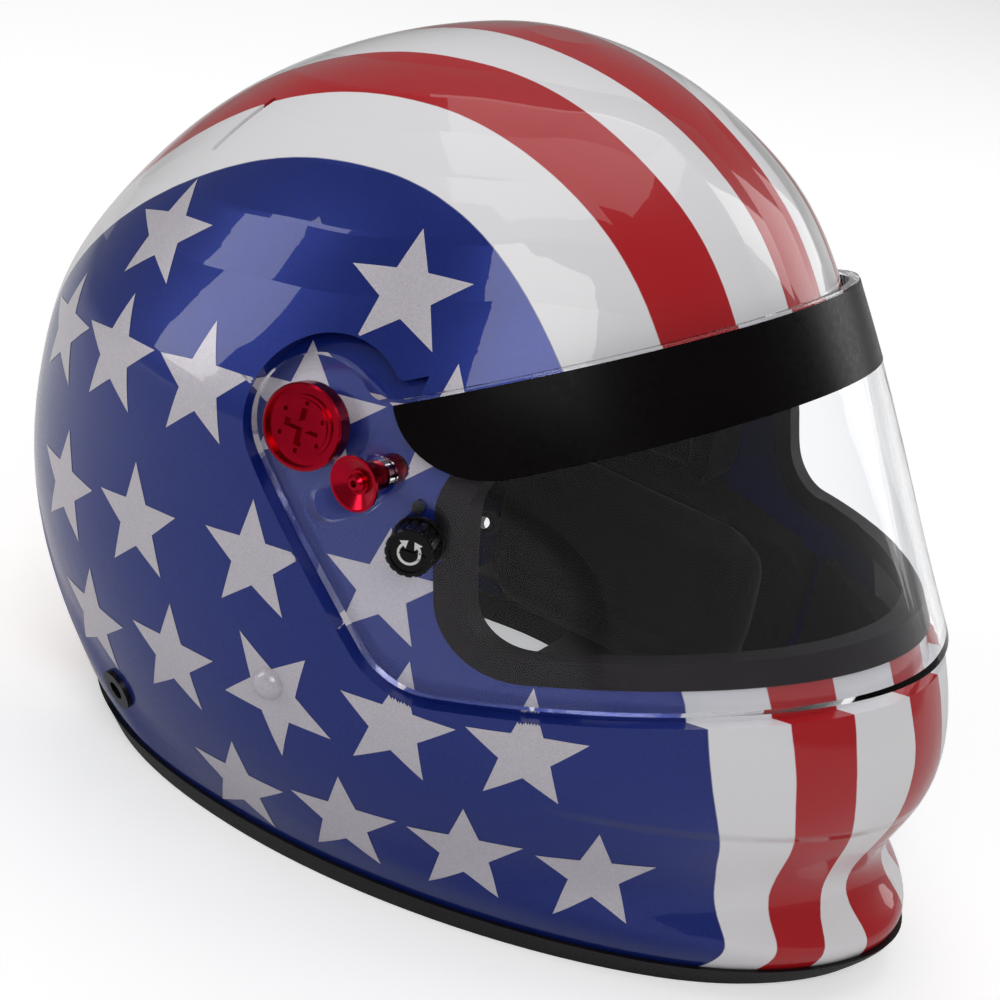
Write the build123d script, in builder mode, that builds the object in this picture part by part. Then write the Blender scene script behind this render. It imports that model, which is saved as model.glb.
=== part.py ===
from build123d import *
import os
from math import atan, cos, radians, sin, tan

# Full-face auto racing helmet: painted shell, foam liners, hinged visor and its hardware.
# Millimetres, +Z up. The wearer looks along -Y, so the wearer's right side is at -X.
# The origin is on the ground under the middle of the shell.

os.makedirs("parts", exist_ok=True)

RIGHT = -1
LEFT = 1

# Outer shell
shell_width = 249.0
shell_height = 255.0
front_length = 186.0
rear_length = 152.0
shell_wall = 3.5
widest_y = (front_length - rear_length) / 2
overrun = 30.0
fit_gap = 0.4
seat_gap = 0.1

# Egg outlines of the shell from the ground to the crown, as shares of the sizes above
level_shares = (
    0, 0.031, 0.070, 0.106, 0.141, 0.235, 0.353, 0.471, 0.588, 0.698, 0.792, 0.871, 0.929, 0.969, 0.991, 1,
)
front_shares = (
    0.935, 0.968, 0.992, 0.948, 0.924, 0.966, 0.954, 0.872, 0.762, 0.640, 0.554, 0.468, 0.361, 0.247, 0.138, 0.060,
)
rear_shares = (
    0.726, 0.761, 0.805, 0.839, 0.873, 0.947, 0.997, 0.991, 0.942, 0.842, 0.720, 0.571, 0.418, 0.270, 0.142, 0.060,
)
side_shares = (
    0.782, 0.814, 0.853, 0.885, 0.912, 0.967, 0.995, 1, 0.985, 0.892, 0.770, 0.650, 0.504, 0.341, 0.186, 0.070,
)
front_handle_shares = (
    0.473, 0.473, 0.473, 0.473, 0.473, 0.473, 0.473, 0.473, 0.473, 0.500, 0.540, 0.530, 0.500, 0.500, 0.520, 0.552,
)
rear_handle_share = 0.660

# Lower edge of the shell and its rubber bead
bead_under = 3.0
bead_over = 5.5
bead_lip = 2.0
base_flat_front = 118.0
base_flat_rear = 85.0
chin_rise = 15.0
nape_rise = 8.0

# Visor sheet: front edge line in side view, from its top to its bottom
visor_wall = 3.0
visor_half_width = 125.0
visor_top_y = -90.0
visor_top_z = 204.5
visor_bottom_y = -155.0
visor_bottom_z = 106.5
visor_level_shares = (0.38, 0.52, 0.68, 0.84, 1, 1.15, 1.32, 1.45)
visor_side_shares = (0.970, 0.992, 1, 0.999, 0.985, 0.930, 0.832, 0.745)
visor_handle_shares = (0.473, 0.473, 0.473, 0.480, 0.500, 0.520, 0.545, 0.552)

# Visor outline in side view
pivot_y = -1.5
pivot_z = 157.5
lobe_radius = 19.5
top_edge_angle = 26.5
rear_edge_angle = 48.2
bottom_edge_angle = 9.5
visor_corner_radius = 24.0
notch_radius = 7.0
visor_opening = 46.0

# Space under the visor
recess_depth = 5.0
recess_below_top = 4.0
gutter = 4.5
swing_gap = 0.5

# Eyeport and its rubber gasket
eyeport_below_top = 20.0
eyeport_above_bottom = 10.0
eyeport_rear_y = -46.0
eyeport_rear_z = 130.0
eyeport_rear_angle = 77.0
eyeport_corner_radius = 20.0
gasket_lip = 4.5
gasket_cover = 1.5
gasket_bulge = 3.5
gasket_inner = 1.5

# Sun strip film
strip_width = 27.0
strip_film = 0.3
strip_margin = 1.0
strip_rear_y = -20.0
strip_corner_radius = 26.0

# Hinge disc and post
disc_radius = 12.6
disc_thick = 5.0
disc_chamfer = 0.6
disc_face = 4.6
disc_rim = 1.3
disc_groove = 2.2
disc_groove_depth = 1.6
disc_ring = 1.1
disc_ring_height = 0.8
dimple_count = 6
dimple_radius = 0.7
cross_length = 11.0
cross_width = 2.4
cross_depth = 1.8
hub_radius = 6.0
post_radius = 4.0
post_fit = 0.05
post_engage = 4.5
post_flange_radius = 9.0
post_flange = 2.0

# Guide cup and its screw, and the arc slot in the visor
guide_radius = 23.2
guide_angle = 20.2
guide_neck_radius = 4.5
guide_rim_radius = 8.1
guide_rim = 0.8
guide_flare = 2.6
guide_floor = 1.5
slot_clearance = 0.5
slot_rim = 1.3
slot_rim_height = 0.7
screw_head_radius = 2.7
screw_head = 1.8
screw_crown_share = 0.7
screw_shank_radius = 1.5
screw_length = 22.0
screw_socket = 1.0
screw_fit = 0.1
nut_flange_radius = 7.0
nut_flange = 1.6
nut_depth = 5.0

# Lock knob on the wearer's right
knob_y = -39.0
knob_z = 134.5
knob_radius = 7.1
knob_height = 8.6
knob_flutes = 16
flute_radius = 0.55
knob_dish = 0.6
knob_dish_radius = 5.6
flange_radius = 7.8
flange_thick = 1.6
flange_chamfer = 0.4
knob_chamfer = 0.5
pointer_length = 5.6
pointer_width = 1.1
pointer_head = 1.9
knob_shaft_radius = 2.5
shaft_fit = 0.05
cam_thick = 1.4
cam_length = 8.5
cam_nose_radius = 1.6
cam_gap = 0.3
cam_drop = 0.7
cam_eye_radius = 3.8
keeper_radius = 1.9
keeper_head = 3.0
keeper_offset = 1.5
keeper_shank_radius = 1.4
keeper_clinch = 1.0
knob_turn = 90.0

# Chin strap and its fastening
rivet_y = -1.3
rivet_z = 73.0
rivet_head_radius = 5.2
rivet_head = 3.0
rivet_shank_radius = 2.5
rivet_length = 11.5
rivet_tail = 1.2
rivet_tail_radius = 4.2
dome_share = 0.75
anchor_thick = 1.6
anchor_drop = 0.8
anchor_width = 28.0
anchor_height = 24.0
strap_thick = 2.0
strap_width = 25.0
strap_top_x = 114.0
strap_upper_x = 111.0
strap_bend_z = 58.0
strap_lower_x = 98.0
strap_turn_x = 80.0
strap_z = 14.0
strap_drop = 10.0
strap_bend_radius = 12.0
strap_end_x = 6.0
strap_room = 1.0
loop_x = 45.0
loop_height = 7.4
loop_width = 3.8
loop_reach = 2.5
ring_wire = 3.2
ring_inner_width = 26.0
ring_depth = 20.0
ring_bow_radius = 11.0
ring_corner_radius = 2.0
ring_lift = 1.8

# Head restraint inserts, M6
tether_y = 69.0
tether_z = 31.5
tether_bore_radius = 2.5
tether_body_radius = 4.5
tether_flange_radius = 7.0
tether_flange = 1.5
tether_length = 11.0
tether_lead_radius = 3.2
tether_lead = 5.0

# Crown vent slots
vent_y = 77.7
vent_z = 215.8
vent_length = 25.0
vent_width = 2.4
vent_lean = 64.0

# Foam liners and pads
liner_thick = 27.0
liner_low_z = 88.0
liner_nape_z = 52.0
face_y = -28.0
brow_margin = 8.0
liner_corner_radius = 12.0
comfort_thick = 9.0
comfort_margin = 6.0
soft_gap = 0.3
block_low_z = 21.0
block_front_y = -74.0
block_rear_y = 48.0
block_high_z = 87.0
block_inner_x = 82.0
pad_thick = 27.0
pad_crown = 6.0
pad_low_z = 24.0
pad_high_z = 92.0
pad_front_y = -66.0
pad_rear_y = 44.0
pad_corner_radius = 20.0
pad_level_shares = (0, 0.25, 0.62, 0.88, 1)
pad_shrink_shares = (1, 0, 0.5, 2.2, 5)
chin_liner_thick = 16.0
chin_liner_low_z = 24.0
chin_liner_high_z = 90.0
chin_liner_rear_y = -82.0
roll_low_z = 16.0
roll_high_z = 48.0
roll_front_y = 80.0
roll_thick = 18.0
roll_corner = 8.0
roll_soft_radius = 3.0
snap_radius = 4.5
snap_height = 3.0
snap_ys = (-48, -12, 26)
snap_zs = (40,)


def egg(front, rear, side, front_handle, rear_handle):
    """Edges of a closed egg outline about the widest line."""
    nose = (0, widest_y - front)
    tail = (0, widest_y + rear)
    with BuildLine() as outline:
        for sign in (LEFT, RIGHT):
            flank = (sign * side, widest_y)
            Bezier(
                flank,
                (sign * side, widest_y - front_handle * front),
                (sign * side * front_handle, widest_y - front),
                nose,
            )
            Bezier(
                flank,
                (sign * side, widest_y + rear_handle * rear),
                (sign * side * rear_handle, widest_y + rear),
                tail,
            )
    return outline.edges()


def shell_form(inset):
    """Solid egg of the whole helmet, drawn in by the inset on every side but the ground."""
    with BuildPart() as form:
        for level, front, rear, side, handle in zip(
            level_shares, front_shares, rear_shares, side_shares, front_handle_shares
        ):
            with BuildSketch(Plane.XY.offset(level * (shell_height - inset))):
                outline = egg(
                    front * (front_length - inset),
                    rear * (rear_length - inset),
                    side * (shell_width / 2 - inset),
                    handle,
                    rear_handle_share,
                )
                make_face(outline)
        loft()
    return form.part


def visor_form(inset):
    """Solid whose front is straight in side view, as the visor sheet is."""
    slope = (visor_bottom_y - visor_top_y) / (visor_bottom_z - visor_top_z)
    with BuildPart() as form:
        for level, side, handle in zip(visor_level_shares, visor_side_shares, visor_handle_shares):
            height = level * pivot_z
            nose_y = visor_top_y + slope * (height - visor_top_z)
            with BuildSketch(Plane.XY.offset(height)):
                outline = egg(
                    widest_y - nose_y - inset / cos(atan(slope)),
                    rear_length,
                    side * visor_half_width - inset,
                    handle,
                    rear_handle_share,
                )
                make_face(outline)
        loft()
    return form.part


def rising(point, angle, at_y):
    """Height at a given Y of a line through a point, rising towards the rear by the angle."""
    return point[1] + tan(radians(angle)) * (at_y - point[0])


def crossing(first, first_angle, second, second_angle):
    """Where two such lines cross."""
    first_slope = tan(radians(first_angle))
    second_slope = tan(radians(second_angle))
    shift = second[1] - first[1] + first_slope * first[0] - second_slope * second[0]
    at_y = shift / (first_slope - second_slope)
    return (at_y, rising(first, first_angle, at_y))


def raised(point, angle, distance):
    """A point moved square to a line of that angle, upwards for a positive distance."""
    return (point[0] - distance * sin(radians(angle)), point[1] + distance * cos(radians(angle)))


pivot = (pivot_y, pivot_z)
visor_top = (visor_top_y, visor_top_z)
visor_bottom = (visor_bottom_y, visor_bottom_z)
lobe_tangent = raised(pivot, rear_edge_angle, -lobe_radius)
far_front = widest_y - front_length - overrun
far_rear = widest_y + rear_length + overrun


def visor_outline(grow):
    """Side view of the visor: a lobe round the pivot and a band that widens forward."""
    corner = crossing(lobe_tangent, rear_edge_angle, visor_bottom, -bottom_edge_angle)
    with BuildSketch() as outline:
        with BuildLine():
            Polyline(
                lobe_tangent,
                corner,
                (far_front, rising(visor_bottom, -bottom_edge_angle, far_front)),
                (far_front, rising(visor_top, -top_edge_angle, far_front)),
                (pivot_y, rising(visor_top, -top_edge_angle, pivot_y)),
                close=True,
            )
        make_face()
        fillet(outline.vertices().sort_by_distance(corner)[0], visor_corner_radius)
        with Locations(pivot):
            Circle(lobe_radius)
        notch = (pivot_y - lobe_radius, pivot_z + lobe_radius)
        concave = outline.vertices().sort_by_distance(notch)[0]
        fillet(concave, notch_radius)
        if grow:
            offset(amount=grow)
    return outline.sketch_local


def eyeport_outline(grow):
    """Side view of the eyeport, its edges following those of the visor."""
    above = raised(visor_bottom, -bottom_edge_angle, eyeport_above_bottom)
    below = raised(visor_top, -top_edge_angle, -eyeport_below_top)
    rear = (eyeport_rear_y, eyeport_rear_z)
    lower = crossing(rear, eyeport_rear_angle, above, -bottom_edge_angle)
    upper = crossing(rear, eyeport_rear_angle, below, -top_edge_angle)
    with BuildSketch() as outline:
        with BuildLine():
            Polyline(
                lower,
                (far_front, rising(above, -bottom_edge_angle, far_front)),
                (far_front, rising(below, -top_edge_angle, far_front)),
                upper,
                close=True,
            )
        make_face()
        corners = [outline.vertices().sort_by_distance(end)[0] for end in (lower, upper)]
        fillet(corners, eyeport_corner_radius)
        if grow:
            offset(amount=grow)
    return outline.sketch_local


def side_seat(form, side, y, z, square=False):
    """Plane on a form where a line along X leaves it, facing out, or square to X where asked."""
    hits = form.find_intersection_points(Axis((0, y, z), (1, 0, 0)))
    point, normal = max(hits, key=lambda hit: hit[0].X)
    facing = (side, 0, 0) if square else (side * normal.X, normal.Y, normal.Z)
    return Plane(origin=(side * point.X, y, z), x_dir=(0, -1, 0), z_dir=facing)


def across(outline):
    """A side view outline, with Y and Z as its own axes, carried right through the helmet."""
    with BuildPart() as slab:
        with BuildSketch(Plane.YZ):
            add(outline)
        extrude(amount=shell_width, both=True)
    return slab.part


outer_form = shell_form(0)
visor_outer = visor_form(0)
visor_inner = visor_form(visor_wall)
pivot_seats = {side: side_seat(visor_outer, side, pivot_y, pivot_z) for side in (LEFT, RIGHT)}

# Depth of the hinge pocket, enough for the lobe as it sways about its tilted middle
lobe_lean = radians(pivot_seats[LEFT].z_dir.get_angle(Vector(LEFT, 0, 0)))
lobe_sway = 2 * sin(radians(visor_opening / 4)) * tan(lobe_lean) * lobe_radius
pocket_depth = visor_wall + swing_gap + lobe_sway


def pocket_floor(side, depth):
    """Floor of the hinge pocket at a depth below it, turned halfway along the visor's travel."""
    seat = pivot_seats[side]
    facing = seat.z_dir.rotate(Axis.X, -visor_opening / 2)
    return Plane(origin=seat.origin - facing * (pocket_depth + depth), x_dir=(0, -1, 0), z_dir=facing)


def hinge_pocket(side, depth):
    """Round seat under the lobe that clears it over the visor's travel."""
    with BuildPart() as pocket:
        with BuildSketch(pocket_floor(side, depth)):
            Circle(lobe_radius + gutter / 2 + depth)
        extrude(amount=overrun)
    return pocket.part


def recess_outline(grow):
    """Side view of the sunk zone: the visor and its gutter, short of the visor's top edge."""
    edge = raised(visor_top, -top_edge_angle, grow - recess_below_top)
    behind = pivot_y - lobe_radius - gutter
    high = shell_height + shell_width
    with BuildSketch() as brow:
        with BuildLine():
            Polyline(
                (far_front, rising(edge, -top_edge_angle, far_front)),
                (behind, rising(edge, -top_edge_angle, behind)),
                (behind, high),
                (far_front, high),
                close=True,
            )
        make_face()
    with BuildSketch() as outline:
        add(visor_outline(gutter + grow))
        add(brow.sketch_local, mode=Mode.SUBTRACT)
    return outline.sketch_local


def skin(depth):
    """The moulded form at a depth below the paint, sunk under the visor."""
    with BuildPart() as sunk:
        add(across(recess_outline(depth)))
        add(shell_form(recess_depth + depth), mode=Mode.SUBTRACT)
    with BuildPart() as moulding:
        add(shell_form(depth))
        add(sunk.part, mode=Mode.SUBTRACT)
        for side in (LEFT, RIGHT):
            add(hinge_pocket(side, depth), mode=Mode.SUBTRACT)
    return moulding.part


def upper_side(lift):
    """All that lies above the shell's lower edge, which rises at the chin and the nape."""
    chin = (widest_y - front_length - overrun, chin_rise + lift)
    nape = (widest_y + rear_length + overrun, nape_rise + lift)
    high = shell_height + overrun
    with BuildSketch() as outline:
        with BuildLine():
            Line((-base_flat_front, lift), (base_flat_rear, lift))
            rear_arc = TangentArc((base_flat_rear, lift), nape, tangent=(1, 0))
            front_arc = TangentArc((-base_flat_front, lift), chin, tangent=(-1, 0))
            Polyline(rear_arc @ 1, (nape[0], high), (chin[0], high), front_arc @ 1)
        make_face()
    return across(outline.sketch_local)


def side_block(front_y, rear_y, low_z, high_z, corner):
    """A rounded block outline in side view, carried across."""
    with BuildSketch() as outline:
        with Locations(((front_y + rear_y) / 2, (low_z + high_z) / 2)):
            RectangleRounded(rear_y - front_y, high_z - low_z, corner)
    return across(outline.sketch_local)


def one_side(side, inner_x):
    """All that lies beyond a distance from the middle on one side."""
    with BuildPart() as half:
        with Locations((side * (inner_x + shell_width / 2), 0, shell_height / 2)):
            Box(shell_width, 2 * shell_width, 2 * shell_height)
    return half.part


def bore(plane, radius, inward, outward):
    """A round tool along the normal of a plane, from inside it to outside it."""
    with BuildPart() as tool:
        with BuildSketch(plane.offset(-inward)):
            Circle(radius)
        extrude(amount=inward + outward)
    return tool.part


def save(node, label):
    """Name a finished piece and write it."""
    node.part.label = label
    export_step(node.part, f"parts/{label}.step")


side_names = {RIGHT: "right", LEFT: "left"}
guide_y = pivot_y - guide_radius * cos(radians(guide_angle))
guide_z = pivot_z - guide_radius * sin(radians(guide_angle))
swept_angle = radians(guide_angle + visor_opening)
swept_y = pivot_y - guide_radius * cos(swept_angle)
swept_z = pivot_z - guide_radius * sin(swept_angle)
wall_in = shell_wall + fit_gap
liner_in = wall_in + liner_thick

# Keeper place, beside the lock knob's path and ahead of its nose when that is turned
knob_reach = cam_length - cam_nose_radius
cam_top = visor_wall + cam_drop
path_length = ((pivot_y - knob_y) ** 2 + (pivot_z - knob_z) ** 2) ** 0.5
path_forward = (pivot_z - knob_z) / path_length
path_upward = (pivot_y - knob_y) / path_length
keeper_ahead = cam_nose_radius + cam_gap + keeper_radius
keeper_aside = knob_reach + keeper_offset
keeper_y = knob_y + keeper_aside * path_upward - keeper_ahead * path_forward
keeper_z = knob_z + keeper_aside * path_forward + keeper_ahead * path_upward

recess_floor = shell_form(recess_depth)
rivet_seats = {side: side_seat(outer_form, side, rivet_y, rivet_z) for side in (LEFT, RIGHT)}
tether_seats = {side: side_seat(outer_form, side, tether_y, tether_z) for side in (LEFT, RIGHT)}
pivot_axes = {side: side_seat(visor_outer, side, pivot_y, pivot_z, square=True) for side in (LEFT, RIGHT)}
guide_floors = {side: side_seat(recess_floor, side, guide_y, guide_z, square=True) for side in (LEFT, RIGHT)}
swept_seat = side_seat(visor_outer, LEFT, swept_y, swept_z, square=True)
knob_seat = side_seat(visor_outer, RIGHT, knob_y, knob_z)
keeper_seat = side_seat(recess_floor, RIGHT, keeper_y, keeper_z)
post_seats = {side: side_seat(recess_floor, side, pivot_y, pivot_z) for side in (LEFT, RIGHT)}
nut_seats = {side: side_seat(recess_floor, side, guide_y, guide_z) for side in (LEFT, RIGHT)}


def vent_plane(side):
    """Plane of a crown vent slot, its X axis along the slot."""
    seat = side_seat(outer_form, side, vent_y, vent_z)
    level = Vector(0, -1, 0).cross(seat.z_dir)
    along = level.rotate(Axis(seat.origin, seat.z_dir), side * (90 - vent_lean))
    return Plane(origin=seat.origin, x_dir=along, z_dir=seat.z_dir)


# All that lies inside the shell wall, a fit gap away from it
inner_form = skin(wall_in)

# Outer shell
with BuildPart() as outer_shell:
    add(skin(0))
    add(skin(shell_wall), mode=Mode.SUBTRACT)
    add(upper_side(bead_under), mode=Mode.INTERSECT)
    add(across(eyeport_outline(0)), mode=Mode.SUBTRACT)
    for side in (LEFT, RIGHT):
        add(bore(pivot_axes[side], post_radius + seat_gap, overrun, 0), mode=Mode.SUBTRACT)
        add(bore(guide_floors[side], guide_neck_radius + seat_gap, overrun, overrun), mode=Mode.SUBTRACT)
        add(bore(rivet_seats[side], rivet_shank_radius + seat_gap, overrun, overrun), mode=Mode.SUBTRACT)
        add(bore(tether_seats[side], tether_body_radius + seat_gap, overrun, overrun), mode=Mode.SUBTRACT)
        with BuildSketch(vent_plane(side).offset(-overrun / 2)):
            SlotOverall(vent_length, vent_width)
        extrude(amount=overrun, mode=Mode.SUBTRACT)
    add(bore(keeper_seat, keeper_shank_radius + seat_gap, overrun, overrun), mode=Mode.SUBTRACT)
save(outer_shell, "outer_shell")

# Rubber bead on the lower edge, with a groove that holds the shell
with BuildPart() as bead_groove:
    add(shell_form(-seat_gap))
    add(shell_form(shell_wall + seat_gap), mode=Mode.SUBTRACT)
    add(upper_side(bead_under - seat_gap), mode=Mode.INTERSECT)
with BuildPart() as base_bead:
    add(shell_form(-bead_lip))
    add(shell_form(shell_wall + bead_lip), mode=Mode.SUBTRACT)
    add(upper_side(0), mode=Mode.INTERSECT)
    add(upper_side(bead_under + bead_over), mode=Mode.SUBTRACT)
    add(bead_groove.part, mode=Mode.SUBTRACT)
save(base_bead, "base_bead")


def turned(seat, profile):
    """A turned piece about the normal of a seat, from points of radius and height."""
    section = Plane(origin=seat.origin, x_dir=seat.x_dir, z_dir=seat.x_dir.cross(seat.z_dir))
    with BuildPart() as piece:
        with BuildSketch(section):
            with BuildLine():
                Polyline(*profile, close=True)
            make_face()
        revolve(axis=Axis(seat.origin, seat.z_dir))
    return piece.part


def arc_slot(width):
    """Side view of the slot that the guide cup runs in, round the pivot."""
    with BuildLine() as path:
        CenterArc(pivot, guide_radius, 180 + guide_angle, visor_opening)
    with BuildSketch() as outline:
        SlotArc(path.edges()[0], width)
    return outline.sketch_local


def strip_outline():
    """Side view of the sun strip along the top of the visor."""
    low = raised(visor_top, -top_edge_angle, -strip_width)
    corner = (strip_rear_y, rising(low, -top_edge_angle, strip_rear_y))
    with BuildSketch() as outline:
        with BuildLine():
            Polyline(
                corner,
                (far_front, rising(low, -top_edge_angle, far_front)),
                (far_front, shell_height),
                (strip_rear_y, shell_height),
                close=True,
            )
        make_face()
        fillet(outline.vertices().sort_by_distance(corner)[0], strip_corner_radius)
        add(visor_outline(-strip_margin), mode=Mode.INTERSECT)
    return outline.sketch_local


# Eyeport gasket, its groove on the edge of the sunk shell wall
with BuildPart() as gasket_groove:
    add(shell_form(recess_depth - seat_gap))
    add(shell_form(recess_depth + shell_wall + seat_gap), mode=Mode.SUBTRACT)
    add(across(eyeport_outline(-seat_gap)), mode=Mode.SUBTRACT)
with BuildPart() as eyeport_gasket:
    add(shell_form(recess_depth - gasket_cover))
    add(shell_form(recess_depth + shell_wall + gasket_inner), mode=Mode.SUBTRACT)
    add(across(eyeport_outline(gasket_lip)), mode=Mode.INTERSECT)
    add(across(eyeport_outline(-gasket_bulge)), mode=Mode.SUBTRACT)
    add(gasket_groove.part, mode=Mode.SUBTRACT)
    cam_room = knob_reach + cam_nose_radius + swing_gap
    add(bore(knob_seat, cam_room, cam_top + cam_thick + swing_gap, 0), mode=Mode.SUBTRACT)
save(eyeport_gasket, "eyeport_gasket")

# Visor sheet with raised rims round its arc slots, bored while it is still solid
slot_width = 2 * (guide_neck_radius + slot_clearance)
with BuildPart() as slot_rims:
    add(visor_form(-slot_rim_height))
    add(across(arc_slot(slot_width + 2 * slot_rim)), mode=Mode.INTERSECT)
with BuildPart() as visor:
    add(visor_outer)
    add(slot_rims.part)
    for side in (LEFT, RIGHT):
        add(bore(pivot_seats[side], hub_radius + seat_gap, overrun, overrun), mode=Mode.SUBTRACT)
    add(bore(knob_seat, knob_shaft_radius + shaft_fit, overrun, overrun), mode=Mode.SUBTRACT)
    add(across(arc_slot(slot_width)), mode=Mode.SUBTRACT)
    add(across(visor_outline(0)), mode=Mode.INTERSECT)
    add(visor_inner, mode=Mode.SUBTRACT)
save(visor, "visor")

# Sun strip film on the visor
with BuildPart() as sun_strip:
    add(visor_form(-strip_film))
    add(visor_outer, mode=Mode.SUBTRACT)
    add(across(strip_outline()), mode=Mode.INTERSECT)
save(sun_strip, "sun_strip")

# Hinge discs on the visor and the posts they turn on
post_tip = post_engage - visor_wall
face_radius = disc_radius - disc_rim - disc_groove - disc_ring
groove_floor = disc_thick - disc_groove_depth
for side in (LEFT, RIGHT):
    seat = pivot_seats[side]
    with BuildPart() as pivot_disc:
        add(
            turned(
                seat,
                (
                    (0, -visor_wall),
                    (disc_radius, -visor_wall),
                    (disc_radius, disc_thick - disc_chamfer),
                    (disc_radius - disc_chamfer, disc_thick),
                    (disc_radius - disc_rim, disc_thick),
                    (disc_radius - disc_rim, groove_floor),
                    (face_radius + disc_ring, groove_floor),
                    (face_radius + disc_ring, groove_floor + disc_ring_height),
                    (face_radius, groove_floor + disc_ring_height),
                    (face_radius, disc_face),
                    (0, disc_face),
                ),
            )
        )
        add(visor_outer, mode=Mode.SUBTRACT)
        add(bore(seat, hub_radius, visor_wall, disc_face / 2))
        add(bore(pivot_axes[side], post_radius + post_fit, overrun, post_tip + fit_gap), mode=Mode.SUBTRACT)
        with BuildSketch(seat.offset(disc_face)):
            Rectangle(cross_length, cross_width)
            Rectangle(cross_width, cross_length)
            with PolarLocations((face_radius + hub_radius) / 2, dimple_count, start_angle=30):
                Circle(dimple_radius)
        extrude(amount=-cross_depth, mode=Mode.SUBTRACT)
    save(pivot_disc, f"pivot_disc_{side_names[side]}")
    with BuildPart() as pivot_post:
        add(bore(post_seats[side], post_flange_radius, wall_in + post_flange, 0))
        add(inner_form, mode=Mode.INTERSECT)
        reach = pivot_seats[LEFT].origin.X - post_seats[LEFT].origin.X + wall_in + post_flange / 2
        add(bore(pivot_axes[side], post_radius, reach, post_tip))
    save(pivot_post, f"pivot_post_{side_names[side]}")

# Guide cups in the arc slots, with their screws and nuts
flare_from = swept_seat.origin.X - guide_floors[LEFT].origin.X + slot_rim_height + 2 * swing_gap
cup_top = flare_from + guide_flare + guide_rim
dish_floor = flare_from + guide_floor
for side in (LEFT, RIGHT):
    with BuildPart() as guide_cup:
        add(
            turned(
                guide_floors[side],
                (
                    (screw_shank_radius + screw_fit, -shell_wall),
                    (guide_neck_radius, -shell_wall),
                    (guide_neck_radius, flare_from),
                    (guide_rim_radius, flare_from + guide_flare),
                    (guide_rim_radius, cup_top),
                    (guide_rim_radius - guide_rim, cup_top),
                    (screw_head_radius + guide_rim, dish_floor),
                    (screw_shank_radius + screw_fit, dish_floor),
                ),
            )
        )
    save(guide_cup, f"guide_cup_{side_names[side]}")
with BuildPart() as guide_screws:
    for side in (LEFT, RIGHT):
        add(
            turned(
                guide_floors[side],
                (
                    (0, dish_floor - screw_length),
                    (screw_shank_radius, dish_floor - screw_length),
                    (screw_shank_radius, dish_floor),
                    (screw_head_radius, dish_floor),
                    (screw_head_radius, dish_floor + screw_head / 2),
                    (screw_head_radius * screw_crown_share, dish_floor + screw_head),
                    (0, dish_floor + screw_head),
                ),
            )
        )
        with BuildSketch(guide_floors[side].offset(dish_floor + screw_head)):
            RegularPolygon(screw_socket, 6, major_radius=False)
        extrude(amount=-screw_head, mode=Mode.SUBTRACT)
save(guide_screws, "guide_screws")

# Nuts inside the shell, square to its wall
with BuildPart() as guide_nuts:
    for side in (LEFT, RIGHT):
        add(bore(nut_seats[side], nut_flange_radius, wall_in + nut_flange, 0))
    add(inner_form, mode=Mode.INTERSECT)
    for side in (LEFT, RIGHT):
        add(bore(guide_floors[side], guide_neck_radius, wall_in + nut_depth, -wall_in - nut_flange))
    for side in (LEFT, RIGHT):
        add(bore(guide_floors[side], screw_shank_radius + seat_gap, overrun, overrun), mode=Mode.SUBTRACT)
        add(bore(guide_floors[side], guide_neck_radius + seat_gap, shell_wall + seat_gap, overrun), mode=Mode.SUBTRACT)
save(guide_nuts, "guide_nuts")

# Lock: flange and fluted knob outside the visor, cam behind it, keeper on the shell
with BuildPart() as lock_flange:
    add(bore(knob_seat, flange_radius, visor_wall, flange_thick))
    add(visor_outer, mode=Mode.SUBTRACT)
    chamfer(lock_flange.faces().sort_by(Axis(knob_seat.origin, knob_seat.z_dir))[-1].edges(), flange_chamfer)
    add(bore(knob_seat, knob_shaft_radius + shaft_fit, overrun, overrun), mode=Mode.SUBTRACT)
save(lock_flange, "lock_flange")

knob_base = flange_thick + swing_gap
knob_top = knob_base + knob_height
with BuildPart() as lock_knob:
    with BuildSketch(knob_seat.offset(knob_base)):
        Circle(knob_radius)
    extrude(amount=knob_height)
    rims = lock_knob.edges().sort_by(Axis(knob_seat.origin, knob_seat.z_dir))
    chamfer(rims[-1], knob_chamfer)
    with BuildSketch(knob_seat.offset(knob_base)):
        with PolarLocations(knob_radius, knob_flutes):
            Circle(flute_radius)
    extrude(amount=knob_height, mode=Mode.SUBTRACT)
    with BuildSketch(knob_seat.offset(knob_top)):
        Circle(knob_dish_radius)
    extrude(amount=-knob_dish, mode=Mode.SUBTRACT)
    with BuildSketch(knob_seat.offset(knob_top - knob_dish)):
        Rectangle(pointer_length, pointer_width)
        with Locations((pointer_length / 2, 0)):
            RegularPolygon(pointer_head, 3)
    extrude(amount=knob_dish)
    add(bore(knob_seat, knob_shaft_radius, cam_top + cam_thick, knob_base))
save(lock_knob, "lock_knob")

with BuildPart() as lock_cam:
    with BuildSketch(knob_seat.offset(-cam_top)):
        Circle(cam_eye_radius)
        with Locations((-knob_reach * path_forward, -knob_reach * path_upward)):
            Circle(cam_nose_radius)
        make_hull()
    extrude(amount=-cam_thick)
    add(bore(knob_seat, knob_shaft_radius, overrun, overrun), mode=Mode.SUBTRACT)
save(lock_cam, "lock_cam")

with BuildPart() as lock_keeper:
    add(bore(keeper_seat, keeper_radius, shell_wall / 2, keeper_head))
    add(bore(keeper_seat, keeper_radius + overrun, shell_wall, 0), mode=Mode.SUBTRACT)
    add(bore(keeper_seat, keeper_shank_radius, shell_wall + keeper_clinch, keeper_head))
save(lock_keeper, "lock_keeper")


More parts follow.
